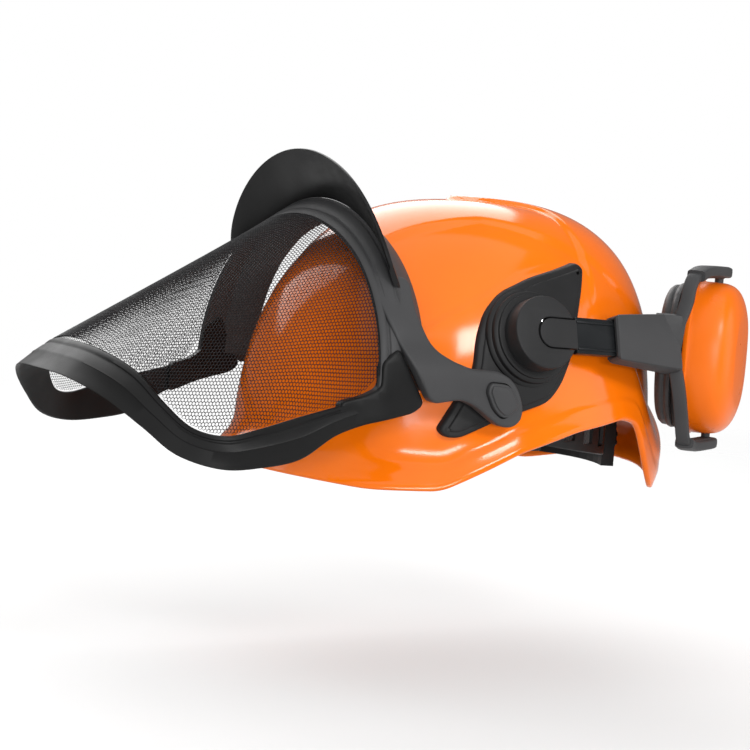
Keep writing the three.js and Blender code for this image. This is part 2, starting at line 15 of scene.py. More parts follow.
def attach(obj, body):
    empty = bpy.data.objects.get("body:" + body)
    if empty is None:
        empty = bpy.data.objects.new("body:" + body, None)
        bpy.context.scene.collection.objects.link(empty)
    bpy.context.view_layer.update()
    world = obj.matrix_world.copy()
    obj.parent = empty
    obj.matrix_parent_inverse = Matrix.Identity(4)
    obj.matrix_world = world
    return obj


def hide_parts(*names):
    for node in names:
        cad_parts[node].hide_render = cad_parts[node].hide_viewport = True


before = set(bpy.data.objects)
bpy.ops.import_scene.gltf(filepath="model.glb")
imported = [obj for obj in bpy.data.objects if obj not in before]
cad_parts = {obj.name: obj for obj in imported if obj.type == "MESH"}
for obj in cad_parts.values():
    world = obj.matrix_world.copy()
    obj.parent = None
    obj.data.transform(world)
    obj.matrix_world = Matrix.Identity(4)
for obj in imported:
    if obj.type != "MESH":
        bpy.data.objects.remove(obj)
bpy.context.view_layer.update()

MM = 0.001
TAU = 2 * math.pi
SIDES = (("left", 1), ("right", -1))

# ---------------------------------------------------------------- driving dimensions, mm

SHELL_HALF_WIDTH = 106
SHELL_FRONT = 127
SHELL_REAR = 131
SHELL_CROWN = 152
SHELL_BASE = -12
PLAN_POWER = 2.17
DOME_POWER = 2.7
SHELL_LEAN = 12
SHELL_WALL = 2.6
RIM_Y = (-150, -93, -60, -17, 20, 57, 72, 86, 96, 105, 116, 131, 150)
RIM_Z = (2, -6, -5, 17, 29, 35.5, 32, 8, -5, -11, -8, 0, 2)

PIVOT_Y = -38
PIVOT_Z = 49
ARM_INNER = 109.0
ARM_OUTER = 115.6
BUTTON_POCKET = 112.0
BUTTON_INNER = 113.8
BUTTON_OUTER = 118.8
BUTTON_PLAY = 0.5
BUTTON_CORNER = 4
PIVOT_BORE = 4.35

HOOP_LEVEL = 49
HOOP_FRONT = dict(half=108, rise=90, foot=-112, top=-106)
HOOP_CREST = dict(half=108.5, rise=99, foot=-97, top=-93)
HOOP_REAR = dict(half=99, rise=90, foot=-78, top=-76)
HOOP_THICKNESS = 3.0
PEAK_END = math.radians(33)
PEAK_LOW = 3
PEAK_HIGH = 31
PEAK_THICKNESS = 2.2

HUB_CENTRE = (116, -11, 84)
HUB_TILT = math.radians(17)
ARM_DROOP = math.radians(2)
HUB_RADIUS = 20.5
HUB_DEPTH = 11
CUP_CENTRE = (98.5, 125, 71)
CUP_TURN = math.radians(40)
CUP_HALF_WIDTH = 38
CUP_HALF_HEIGHT = 45
CUP_MOUTH = -12
CUP_BACK = 17
FORK_TOP = 49.5
FORK_WIDTH = 8

BAND_HALF = (80, 98)
NAPE_HALF = (84.5, 105)
CLIP_LEVEL = 46
STRAP_TOP = 112

# ---------------------------------------------------------------- materials


class Nodes:
    """A material's node tree, with its Principled shader and coordinates in millimetres."""

    def __init__(self, name, **sockets):
        self.material = bpy.data.materials.new(name)
        self.material.use_nodes = True
        self.tree = self.material.node_tree
        self.shader = self.tree.nodes["Principled BSDF"]
        for socket, value in sockets.items():
            self.shader.inputs[socket.replace("_", " ")].default_value = value
        self.place = self.node("ShaderNodeTexCoord").outputs["Object"]

    def node(self, kind, **values):
        made = self.tree.nodes.new(kind)
        for key, value in values.items():
            setattr(made, key, value)
        return made

    def link(self, out, into):
        self.tree.links.new(out, into)

    def noise(self, per_mm, detail=3.0, stretch=(1, 1, 1)):
        mapping = self.node("ShaderNodeMapping")
        mapping.inputs["Scale"].default_value = [s * per_mm / MM for s in stretch]
        self.link(self.place, mapping.inputs["Vector"])
        noise = self.node("ShaderNodeTexNoise")
        noise.inputs["Scale"].default_value = 1.0
        noise.inputs["Detail"].default_value = detail
        self.link(mapping.outputs["Vector"], noise.inputs["Vector"])
        return noise.outputs["Fac"]

    def cells(self, per_mm, feature="F1"):
        voronoi = self.node("ShaderNodeTexVoronoi", feature=feature)
        voronoi.inputs["Scale"].default_value = per_mm / MM
        self.link(self.place, voronoi.inputs["Vector"])
        return voronoi.outputs["Distance"]

    def spread(self, fac, low, high, start=0.3, end=0.7):
        ranged = self.node("ShaderNodeMapRange")
        for key, value in (("From Min", start), ("From Max", end), ("To Min", low), ("To Max", high)):
            ranged.inputs[key].default_value = value
        self.link(fac, ranged.inputs["Value"])
        return ranged.outputs["Result"]

    def colours(self, fac, dark, light, start=0.3, end=0.7):
        ramp = self.node("ShaderNodeValToRGB")
        ramp.color_ramp.elements[0].position = start
        ramp.color_ramp.elements[1].position = end
        ramp.color_ramp.elements[0].color = (*dark, 1)
        ramp.color_ramp.elements[1].color = (*light, 1)
        self.link(fac, ramp.inputs["Fac"])
        self.link(ramp.outputs["Color"], self.shader.inputs["Base Color"])

    def rough(self, fac, low, high):
        self.link(self.spread(fac, low, high), self.shader.inputs["Roughness"])

    def bumps(self, *layers):
        """Each layer is (height output, depth in mm)."""
        normal = None
        for height, depth in layers:
            bump = self.node("ShaderNodeBump")
            bump.inputs["Distance"].default_value = depth * MM
            self.link(height, bump.inputs["Height"])
            if normal is not None:
                self.link(normal, bump.inputs["Normal"])
            normal = bump.outputs["Normal"]
        self.link(normal, self.shader.inputs["Normal"])


def moulded(name, dark, light, rough, grain, grain_depth, **sockets):
    """Moulded plastic: slow colour drift, uneven gloss and a fine surface grain."""
    nodes = Nodes(name, **sockets)
    nodes.colours(nodes.noise(0.02, 4), dark, light)
    nodes.rough(nodes.noise(0.05, 5), *rough)
    nodes.bumps((nodes.noise(0.012, 2), 0.25), (nodes.noise(grain, 2), grain_depth))
    return nodes.material


DARK_PLASTIC_SPECULAR = 0.16
# name, darkest and lightest colour, lowest and highest roughness, grain per mm, grain depth in mm
DARK_PLASTICS = {
    "plate": ("plate_black", (0.011, 0.011, 0.0113), (0.016, 0.016, 0.0165), (0.42, 0.56), 3.0, 0.03),
    "frame": ("frame_black", (0.004, 0.004, 0.0041), (0.007, 0.007, 0.0072), (0.36, 0.5), 3.0, 0.025),
    "peak": ("peak_black", (0.006, 0.006, 0.0062), (0.009, 0.009, 0.0093), (0.3, 0.42), 1.5, 0.01),
    "arm": ("arm_grey", (0.038, 0.038, 0.0391), (0.048, 0.048, 0.0494), (0.45, 0.58), 3.0, 0.03),
    "yoke": ("yoke_grey", (0.04, 0.04, 0.0412), (0.05, 0.05, 0.0515), (0.42, 0.55), 3.0, 0.03),
    "hub": ("hub_black", (0.016, 0.016, 0.0165), (0.022, 0.022, 0.0227), (0.42, 0.55), 3.0, 0.03),
    "slider": ("slider_black", (0.006, 0.007, 0.008), (0.01, 0.011, 0.012), (0.28, 0.4), 1.5, 0.01),
    "band": ("band_black", (0.009, 0.009, 0.0093), (0.014, 0.014, 0.0144), (0.38, 0.52), 3.0, 0.02),
    "net": ("net_black", (0.006, 0.006, 0.007), (0.012, 0.012, 0.013), (0.42, 0.6), 2.0, 0.01),
}


def make_materials():
    made = {
        "shell": moulded("gloss_orange", (0.79, 0.142, 0.0015), (0.83, 0.158, 0.002), (0.1, 0.16),
                         0.9, 0.004, Specular_IOR_Level=0.34),
        "cup": moulded("satin_orange", (0.74, 0.13, 0.002), (0.78, 0.148, 0.003), (0.26, 0.36),
                       1.6, 0.01, Specular_IOR_Level=0.28),
    }
    for look, plastic in DARK_PLASTICS.items():
        made[look] = moulded(*plastic, Specular_IOR_Level=DARK_PLASTIC_SPECULAR)

    steel = Nodes("pin_steel", Metallic=1.0)
    brushed = steel.noise(0.4, 4, stretch=(0.15, 3, 3))
    steel.colours(brushed, (0.42, 0.42, 0.43), (0.6, 0.6, 0.61))
    steel.rough(brushed, 0.24, 0.42)
    steel.bumps((brushed, 0.02))
    made["steel"] = steel.material

    leather = Nodes("cushion_leatherette", Sheen_Weight=0.12, Sheen_Roughness=0.45)
    grain = leather.cells(0.9)
    leather.colours(leather.noise(0.06, 4), (0.02, 0.02, 0.021), (0.034, 0.034, 0.035))
    leather.rough(leather.noise(0.3, 3), 0.48, 0.66)
    leather.bumps((grain, 0.06), (leather.noise(0.08, 3), 0.3))
    made["cushion"] = leather.material

    foam = Nodes("open_foam", Sheen_Weight=0.2, Roughness=0.95)
    pores = foam.cells(0.7, "SMOOTH_F1")
    foam.colours(pores, (0.012, 0.012, 0.013), (0.045, 0.046, 0.048), 0.1, 0.6)
    foam.bumps((pores, 0.5), (foam.noise(0.25, 4), 0.4))
    made["foam"] = foam.material

    terry = Nodes("sweatband_terry", Sheen_Weight=0.3, Roughness=0.9)
    loops = terry.cells(1.1)
    terry.colours(loops, (0.03, 0.031, 0.034), (0.014, 0.015, 0.017), 0.0, 0.7)
    terry.bumps((loops, 0.35), (terry.noise(0.3, 3), 0.3))
    made["terry"] = terry.material

    webbing = Nodes("strap_webbing", Sheen_Weight=0.25, Roughness=0.8)
    weave = webbing.node("ShaderNodeTexWave", wave_type="BANDS", bands_direction="DIAGONAL")
    weave.inputs["Scale"].default_value = 0.35 / MM
    weave.inputs["Distortion"].default_value = 1.5
    webbing.link(webbing.place, weave.inputs["Vector"])
    webbing.colours(weave.outputs["Fac"], (0.012, 0.013, 0.015), (0.036, 0.038, 0.042), 0.2, 0.8)
    webbing.bumps((weave.outputs["Fac"], 0.15), (webbing.noise(1.2, 2), 0.08))
    made["webbing"] = webbing.material
    return made


LOOK = make_materials()

# ---------------------------------------------------------------- mesh helpers


def finish_mesh(name, bm, place=None):
    """A mesh in metres from a bmesh in millimetres; place maps its vertices to their final points."""
    if place is not None:
        moved = place(np.array([v.co for v in bm.verts]))
        for v, co in zip(bm.verts, moved):
            v.co = co
    bmesh.ops.recalc_face_normals(bm, faces=bm.faces)
    bmesh.ops.scale(bm, vec=(MM, MM, MM), verts=bm.verts)
    mesh = bpy.data.meshes.new(name)
    bm.to_mesh(mesh)
    bm.free()
    return mesh


def new_object(name, data):
    obj = bpy.data.objects.new(name, data)
    bpy.context.scene.collection.objects.link(obj)
    return obj


def piece(name, mesh, look, body, stands_for=(), sharp=38):
    """A finished piece: shaded smooth but for edges sharper than `sharp` degrees, riding on a body."""
    obj = new_object(name, mesh)
    mesh.materials.clear()
    mesh.materials.append(LOOK[look])
    mesh.polygons.foreach_set("use_smooth", [True] * len(mesh.polygons))
    mesh.set_sharp_from_angle(angle=math.radians(sharp))
    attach(obj, body)
    if stands_for:
        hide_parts(*stands_for)
    return obj


def mirror_image(mesh):
    copy = mesh.copy()
    copy.transform(Matrix.Scale(-1, 4, (1, 0, 0)))
    copy.flip_normals()
    return copy


def pair(name, mesh, look, body, stands_for=(), sharp=38):
    """The left piece and its mirror image. {side} in the body's name becomes left or right."""
    made = []
    for side, way in SIDES:
        data = mesh if way > 0 else mirror_image(mesh)
        nodes = [f"{node}_{side}" for node in stands_for]
        made.append(piece(f"{name}_{side}", data, look, body.format(side=side), nodes, sharp))
    return made


def grid_quads(rows, columns, wrapped):
    across = columns if wrapped else columns - 1
    i, j = np.meshgrid(np.arange(rows - 1), np.arange(across), indexing="ij")
    k = (j + 1) % columns
    quads = np.stack([i * columns + j, (i + 1) * columns + j, (i + 1) * columns + k, i * columns + k], -1)
    return quads.reshape(-1, 4)


def closed_grid(points, wrap_rows=False, wrapped=False):
    """bmesh of a grid of points[row, column], welded where points meet, with its open ends capped."""
    rows, columns = points.shape[:2]
    if wrap_rows:
        points = np.concatenate([points, points[:1]])
        rows += 1
    bm = bmesh.new()
    verts = [bm.verts.new(p) for p in points.reshape(-1, 3)]
    for quad in grid_quads(rows, columns, wrapped):
        bm.faces.new([verts[n] for n in quad])
    bmesh.ops.remove_doubles(bm, verts=bm.verts, dist=1e-4)
    holes = [e for e in bm.edges if e.is_boundary]
    if holes:
        bmesh.ops.holes_fill(bm, edges=holes, sides=0)
    return bm


def rounded(points, radius, steps=6):
    """Dense outline with its corners rounded."""
    points = np.array(points, float)
    made = []
    for i, corner in enumerate(points):
        before = points[i - 1] - corner
        after = points[(i + 1) % len(points)] - corner
        cut = min(radius, 0.48 * np.linalg.norm(before), 0.48 * np.linalg.norm(after))
        start = corner + before / np.linalg.norm(before) * cut
        end = corner + after / np.linalg.norm(after) * cut
        for t in np.linspace(0, 1, steps + 1):
            made.append((1 - t) ** 2 * start + 2 * t * (1 - t) * corner + t * t * end)
    return np.array(made)


def circle(radius, count=64, centre=(0, 0)):
    t = np.linspace(0, TAU, count, endpoint=False)
    return np.stack([centre[0] + radius * np.cos(t), centre[1] + radius * np.sin(t)], -1)


def inset_loop(loop, distance):
    """The outline moved inwards by a small distance."""
    area = np.sum(loop[:, 0] * np.roll(loop[:, 1], -1) - loop[:, 1] * np.roll(loop[:, 0], -1))
    along = np.roll(loop, -1, 0) - loop
    along /= np.maximum(np.linalg.norm(along, axis=1, keepdims=True), 1e-9)
    side = np.stack([-along[:, 1], along[:, 0]], -1) * np.sign(area)
    normal = side + np.roll(side, 1, 0)
    normal /= np.maximum(np.linalg.norm(normal, axis=1, keepdims=True), 1e-9)
    reach = 1 / np.maximum(np.sum(normal * side, axis=1, keepdims=True), 0.6)
    return loop + normal * distance * reach


def soft_edge(back, face, radius, steps=3):
    """Profile of (inset, height) from the back of a slab to its face, with a rounded outer edge."""
    turns = np.linspace(0, math.pi / 2, steps + 1)
    rounding = [(radius * (1 - math.cos(t)), face - radius + radius * math.sin(t)) for t in turns]
    return [(0.0, back), *rounding]


def patch(loop, profile, cell=None):
    """Solid over an outline in (u, v), as (u, v, height).

    profile lists (inset, height) from back to face. cell is the spacing of the cuts that let it bend.
    """
    bm = bmesh.new()
    rings = []
    for inset, height in profile:
        rings.append([bm.verts.new((u, v, height)) for u, v in inset_loop(loop, inset)])
    count = len(loop)
    for low, high in zip(rings, rings[1:]):
        for i in range(count):
            k = (i + 1) % count
            bm.faces.new((low[i], low[k], high[k], high[i]))
    bm.faces.new(rings[0][::-1])
    bm.faces.new(rings[-1])
    if cell:
        for axis in (0, 1):
            normal = Vector((1, 0, 0)) if axis == 0 else Vector((0, 1, 0))
            for at in np.arange(loop[:, axis].min() + cell / 2, loop[:, axis].max(), cell):
                everything = [*bm.verts, *bm.edges, *bm.faces]
                bmesh.ops.bisect_plane(bm, geom=everything, plane_co=normal * at, plane_no=normal)
    return bm


def join(*meshes):
    """One bmesh from several, which may overlap."""
    whole = bmesh.new()
    for bm in meshes:
        data = bpy.data.meshes.new("part")
        bm.to_mesh(data)
        bm.free()
        whole.from_mesh(data)
        bpy.data.meshes.remove(data)
    return whole


def standing(points):
    """(y, z, x) to (x, y, z): a slab drawn from the side."""
    return points[:, [2, 0, 1]]


def to_hub(points):
    """The hub's own axes, X out of its face, to the helmet's."""
    x, y, z = points.T
    along = y * math.cos(ARM_DROOP) + z * math.sin(ARM_DROOP)
    rise = z * math.cos(ARM_DROOP) - y * math.sin(ARM_DROOP)
    out = x * math.cos(HUB_TILT) - rise * math.sin(HUB_TILT)
    rise = x * math.sin(HUB_TILT) + rise * math.cos(HUB_TILT)
    return np.stack([out, along, rise], -1) + HUB_CENTRE


def to_cup(points):
    """The cup's own axes, X out of its back, to the helmet's."""
    x, y, z = points.T
    turned = np.stack([x * math.cos(CUP_TURN) - y * math.sin(CUP_TURN),
                       x * math.sin(CUP_TURN) + y * math.cos(CUP_TURN), z], -1)
    return turned + CUP_CENTRE


def at_pivot(points):
    """From the visor pivot's own axes to the helmet's."""
    return points + (0, PIVOT_Y, PIVOT_Z)


def unit(vectors):
    return vectors / np.linalg.norm(vectors, axis=-1, keepdims=True)


def smooth_step(value, low, high):
    t = np.clip((value - low) / (high - low), 0, 1)
    return t * t * (3 - 2 * t)


def smooth_path(points, count):
    """Catmull-Rom curve through the points."""
    p = np.array(points, float)
    p = np.concatenate([[2 * p[0] - p[1]], p, [2 * p[-1] - p[-2]]])
    spans = len(p) - 3
    made = []
    for s in np.linspace(0, spans, count):
        i = min(int(s), spans - 1)
        t = s - i
        a, b, c, d = p[i:i + 4]
        made.append(0.5 * (2 * b + (c - a) * t + (2 * a - 5 * b + 4 * c - d) * t ** 2
                           + (3 * b - a - 3 * c + d) * t ** 3))
    return np.array(made)


def revolve(profile, count=64):
    """bmesh turned round X from a profile of (x, radius)."""
    t = np.linspace(0, TAU, count, endpoint=False)
    rows = [np.stack([np.full(count, x), r * np.cos(t), r * np.sin(t)], -1) for x, r in profile]
    return closed_grid(np.array(rows), wrapped=True)


# ---------------------------------------------------------------- shell


def rim_level(y):
    """Rim height along the helmet, with the corners of its line eased."""
    steps = np.linspace(-5, 5, 11)
    return np.mean([np.interp(y + s, RIM_Y, RIM_Z) for s in steps], axis=0)


def plan_radius(angle, outset=0.0):
    length = np.where(np.sin(angle) < 0, SHELL_FRONT, SHELL_REAR) + outset
    across = (np.abs(np.cos(angle)) / (SHELL_HALF_WIDTH + outset)) ** PLAN_POWER
    along = (np.abs(np.sin(angle)) / length) ** PLAN_POWER
    return (across + along) ** (-1 / PLAN_POWER)


def rim_flare(angle, level, rim):
    forward = np.maximum(0, -np.sin(angle))
    backward = np.maximum(0, np.sin(angle)) ** 2
    brim = np.clip((rim + 22 - level) / 22, 0, 1) ** 2
    nape = np.clip((rim + 46 - level) / 46, 0, 1)
    return (5 + 10 * forward ** 3) * brim * (1 - backward) + 12 * backward * np.sin(0.85 * math.pi * nape)


def shell_point(angle, down, outset=0.0):
    """Point on the dome; down runs from 0 at the crown to 1 at the rim."""
    rim = rim_level(plan_radius(angle) * np.sin(angle))
    rim_height = (rim - SHELL_BASE) / (SHELL_CROWN - SHELL_BASE)
    polar = down * np.arccos(np.maximum(rim_height, 0) ** (DOME_POWER / 2))
    out = np.sin(polar) ** (2 / DOME_POWER)
    up = np.cos(polar) ** (2 / DOME_POWER)
    level = SHELL_BASE + (SHELL_CROWN + outset - SHELL_BASE) * up
    reach = plan_radius(angle, outset) * out + rim_flare(angle, level, rim) * (down > 0)
    return np.stack([reach * np.cos(angle), SHELL_LEAN * up ** 2 + reach * np.sin(angle), level], -1)


def shell_relief(points, angle):
    """How far the moulded steps stand out of the plain dome."""
    x, y, z = points[..., 0], points[..., 1], points[..., 2]
    lean = np.degrees(np.arctan2(np.abs(x), z + 12))
    rear_edge = 40 - 46 * np.exp(-(lean / 6.5) ** 2)
    hood = 2.2 * smooth_step(y, rear_edge - 1.5, rear_edge + 3.5) * smooth_step(-lean, -40, -30)
    spine_edge = np.interp(y, (-70, -40, -16, 6, 28, 41, 55, 75, 100),
                           (14.5, 17, 18, 21.5, 25, 27, 30, 33, 34))
    spine = 1.5 * smooth_step(spine_edge - lean, -2.2, 1.2)
    spine = spine * smooth_step(y, -104, -60) * smooth_step(-y, -112, -86)
    cheek_edge = np.interp(y, (-80, -65, -42, -25, -9, 10, 37), (41, 40.2, 38, 35.8, 33.6, 31.7, 29.5))
    cheek = 1.7 * smooth_step(lean - cheek_edge, -1.2, 1.6)
    cheek = cheek * smooth_step(y, -96, -62) * smooth_step(-y, -60, -30)
    cheek = cheek * smooth_step(z, 30, 60)
    height = z - rim_level(plan_radius(angle) * np.sin(angle))
    ledge = 0.9 * smooth_step(-height, -12.5, -9.5)
    return hood + spine + cheek + ledge


def build_shell():
    columns = 480
    angle = np.linspace(0, TAU, columns, endpoint=False)[None, :]
    down = np.linspace(0, 1, 150)[:, None]
    plain = shell_point(angle, down)
    raised = unit(shell_point(angle, down, 1.0) - plain)
    outer = plain + raised * shell_relief(plain, angle)[..., None]
    outer[0] = outer[0].mean(0)
    inner = shell_point(angle, down[::-2], -SHELL_WALL)
    inner[-1] = inner[-1].mean(0)
    lip = []
    for turn in np.linspace(0, math.pi, 7)[1:-1]:
        share = (1 - math.cos(turn)) / 2
        bead = outer[-1] * (1 - share) + inner[0] * share
        bead[:, 2] -= 1.5 * math.sin(turn)
        lip.append(bead)
    bm = closed_grid(np.concatenate([outer, lip, inner]), wrapped=True)
    piece("shell_moulding", finish_mesh("shell_moulding", bm), "shell", "helmet",
          ["shell"], sharp=60)


build_shell()


def dome_x(y, z, outset):
    """How far out the dome's side lies, at a place seen from the side."""
    up = np.clip((z - SHELL_BASE) / (SHELL_CROWN + outset - SHELL_BASE), 0, 0.999)
    out = (1 - up ** DOME_POWER) ** (1 / DOME_POWER)
    along = y - SHELL_LEAN * up ** 2
    length = np.where(along < 0, SHELL_FRONT, SHELL_REAR) + outset
    share = np.clip(np.abs(along) / (length * out), 0, 0.999)
    return (SHELL_HALF_WIDTH + outset) * out * (1 - share ** PLAN_POWER) ** (1 / PLAN_POWER)


def on_dome(points):
    y, z, height = points.T
    return np.stack([dome_x(y, z, height), y, z], -1)


# ---------------------------------------------------------------- side plates

PLATE_OUTLINE = [(-61, 23), (-54, 23), (-31, 34), (0, 44), (9, 54), (17, 70), (25, 95), (36, 119),
                 (32, 122), (-5, 112), (-26, 103), (-37, 92), (-43, 78), (-46, 60), (-57, 41), (-65, 27)]


def build_side_plates():
    loop = rounded(PLATE_OUTLINE, 6)
    plate = patch(loop, soft_edge(0.3, 4.2, 1.3), 3.5)
    ridge = patch(inset_loop(loop, 3.2), soft_edge(1.0, 5.0, 0.9), 3.5)
    mesh = finish_mesh("side_plate", join(plate, ridge), on_dome)
    pair("side_plate_moulding", mesh, "plate", "helmet", ["side_plate"])
    boss = revolve([(96, 0), (96, 10), (107.6, 10), (108.2, 9.6), (108.4, 9), (108.4, 4.4), (104, 4.4),
                    (104, 0)])
    mesh = finish_mesh("pivot_boss", boss, at_pivot)
    pair("pivot_boss", mesh, "plate", "helmet")


build_side_plates()

# ---------------------------------------------------------------- visor bracket: arms and hoop

# outlines seen from the side, as (y, z)
ARM_OUTLINE = [(-82.5, 43), (-64, 45.5), (-54, 42), (-46, 36.5), (-37, 31), (-29, 30.5), (-23.5, 34),
               (-22.3, 41), (-25.5, 50), (-31, 57), (-40, 61.5), (-57, 62), (-70, 66.5), (-79, 72),
               (-84, 82), (-86.5, 92), (-84, 108), (-105, 110), (-107, 98), (-104.5, 85), (-98.5, 70),
               (-92, 58)]
CORNER_OUTLINE = [(-133, 42.4), (-120, 45.6), (-111, 50.5), (-110.5, 64), (-100, 72), (-93.5, 59),
                  (-84, 42.5), (-90, 37.5), (-117, 31), (-134, 25)]
BUTTON_OUTLINE = [(-48.7, 50.5), (-46.5, 55.5), (-34, 54.5), (-26, 42), (-36, 35), (-43.5, 40.5)]


def cut_mesh(mesh, *cutters):
    """The mesh with the cutters' meshes taken away."""
    target = new_object("target", mesh)
    tools = []
    for cutter in cutters:
        tool = new_object("tool", cutter)
        modifier = target.modifiers.new("cut", "BOOLEAN")
        modifier.operation = "DIFFERENCE"
        modifier.solver = "EXACT"
        modifier.object = tool
        tools.append(tool)
    graph = bpy.context.evaluated_depsgraph_get()
    result = bpy.data.meshes.new_from_object(target.evaluated_get(graph))
    for obj in (target, *tools):
        bpy.data.objects.remove(obj)
    return result


def hoop_point(edge, turn):
    s, c = np.sin(turn), np.cos(turn)
    return np.stack([edge["half"] * c, edge["foot"] + (edge["top"] - edge["foot"]) * s,
                     HOOP_LEVEL + edge["rise"] * s], -1)


def hoop_outward(turn):
    return np.stack([np.cos(turn), np.zeros_like(turn), np.sin(turn)], -1)


def hoop_strip(stations, turns):
    """Closed strip round the hoop through stations of (share, outset).

    Share 0 is its front edge, 1 its crest and 2 its rear edge.
    """
    front, crest, rear = (hoop_point(e, turns) for e in (HOOP_FRONT, HOOP_CREST, HOOP_REAR))
    outward = hoop_outward(turns)
    ring = []
    for share, outset in stations:
        if share <= 1:
            base = front + (crest - front) * share
        else:
            base = crest + (rear - crest) * (share - 1)
        ring.append(base + outward * outset)
    return closed_grid(np.array(ring), wrap_rows=True)


def hoop_side(y, z):
    """How far out the hoop lies at a place seen from the side, from its front edge to its crest."""
    share = np.clip((y - HOOP_FRONT["foot"]) / (HOOP_CREST["foot"] - HOOP_FRONT["foot"]), 0, 1)
    half = HOOP_FRONT["half"] + (HOOP_CREST["half"] - HOOP_FRONT["half"]) * share
    rise = HOOP_FRONT["rise"] + (HOOP_CREST["rise"] - HOOP_FRONT["rise"]) * share
    return half * np.sqrt(1 - np.clip((z - HOOP_LEVEL) / rise, 0, 0.99) ** 2)


def on_arm(points):
    """The arm's slab, flat by the pivot, leaning in with the hoop above it and sinking into its band."""
    y, z, height = points.T
    lean = smooth_step(z, 56, 78)
    inner = ARM_INNER + (hoop_side(y, z) - 3.6 - ARM_INNER) * lean
    sink = smooth_step(z, 82, 106) * 0.46 + 0.18 * lean
    return np.stack([inner + height * (1 - sink), y, z], -1)


def on_corner(points):
    """The patch between the frame's side strip and the hoop's foot."""
    y, z, height = points.T
    out = 106.2 + 4.2 * smooth_step(y, -128, -104)
    return np.stack([out + height + (hoop_side(y, z) - HOOP_CREST["half"]), y, z], -1)


def build_bracket():
    turns = np.linspace(0, math.pi, 161)
    deep = -HOOP_THICKNESS
    outer = [(0.04, 0), (0.2, 0.5), (0.3, 0.1), (0.34, -0.5), (0.4, -0.5), (0.44, 0.2), (0.6, 0.6),
             (0.82, 0.5), (0.88, -0.4), (0.94, -0.4), (1.0, 0.3), (1.1, 0.5), (1.5, 0.8), (1.9, 0.3),
             (2.0, -0.3)]
    inner = [(2.0, deep + 0.5), (1.9, deep), (1.0, deep), (0.04, deep), (0.0, deep + 0.6), (0.0, -0.5)]
    hoop = finish_mesh("visor_hoop", hoop_strip(outer + inner, turns))
    piece("visor_hoop", hoop, "arm", "visor", ["visor_bracket"], sharp=30)

    arm = patch(rounded(ARM_OUTLINE, 5), soft_edge(0, ARM_OUTER - ARM_INNER, 1.6, 4), 4)
    arm = finish_mesh("visor_arm", arm, on_arm)
    button_loop = np.array(BUTTON_OUTLINE, float)
    pocket_loop = rounded(inset_loop(button_loop, -BUTTON_PLAY), BUTTON_CORNER)
    pocket = finish_mesh("pocket", patch(pocket_loop, [(0, BUTTON_POCKET), (0, 130)]), standing)
    bore = revolve([(90, 0), (90, PIVOT_BORE), (125, PIVOT_BORE), (125, 0)])
    bore = finish_mesh("bore", bore, at_pivot)
    pair("visor_arm", cut_mesh(arm, pocket, bore), "arm", "visor")

    corner = patch(rounded(CORNER_OUTLINE, 3.5), soft_edge(-6, 0, 1.4), 4)
    pair("visor_corner", finish_mesh("visor_corner", corner, on_corner), "frame", "visor")

    loop = rounded(inset_loop(button_loop, 0.2), BUTTON_CORNER)
    rim = patch(loop, soft_edge(BUTTON_INNER, BUTTON_OUTER - 1.0, 0.8))
    face = patch(inset_loop(loop, 1.5), soft_edge(BUTTON_INNER + 1, BUTTON_OUTER, 0.6))
    button = finish_mesh("visor_button", join(rim, face), standing)
    pair("visor_button_cap", button, "arm", "button_{side}", ["visor_button"])


build_bracket()

# ---------------------------------------------------------------- peak


def build_peak():
    steps = np.linspace(0, 1, 121)
    turns = PEAK_END + (math.pi - 2 * PEAK_END) * steps
    outward = hoop_outward(turns)
    rise = np.stack([0.2 * np.cos(turns), np.full_like(turns, -0.52), np.full_like(turns, 0.85)], -1)
    fullness = np.maximum(0, np.sin(math.pi * steps)) ** 0.34
    height = PEAK_LOW + (PEAK_HIGH - PEAK_LOW) * fullness
    foot = hoop_point(HOOP_CREST, turns) + outward * 0.4
    rows = []
    shares = np.linspace(0, 1, 15)
    front_face = [(share, 0.0) for share in shares]
    edge = [(1.01, 0.6), (1.01, 1.6)]
    rear_face = [(share, PEAK_THICKNESS) for share in shares[::-1]]
    for share, depth in front_face + edge + rear_face:
        belly = 1.6 * math.sin(math.pi * min(share, 1))
        rows.append(foot + rise * (height * share)[:, None] + np.array([0, depth - belly, 0]))
    mesh = finish_mesh("visor_peak", closed_grid(np.array(rows), wrap_rows=True))
    piece("visor_peak_moulding", mesh, "peak", "visor", ["visor_peak"])


build_peak()

# ---------------------------------------------------------------- visor frame

MESH_EDGE = [(104, -112, 46), (104.5, -135, 40), (105, -157, 34.5), (104.5, -180, 28), (101, -197, 24),
             (91, -211, 27), (78, -221, 38), (60, -229, 52), (32, -237, 60.5), (0, -240, 62.5)]
LOWER_EDGE = [(104, -110, 33), (104.5, -134, 25), (105, -155, 12.5), (104.5, -177, 8), (102, -199, 7),
              (91, -219, 13), (79, -233, 25.5), (61, -246, 38), (33, -256, 46), (0, -259, 47.5)]


def whole_edge(points, count):
    """Left foot to right foot through the nose, as count points."""
    right = [(-x, y, z) for x, y, z in points[-2::-1]]
    return smooth_path([*points, *right], count)


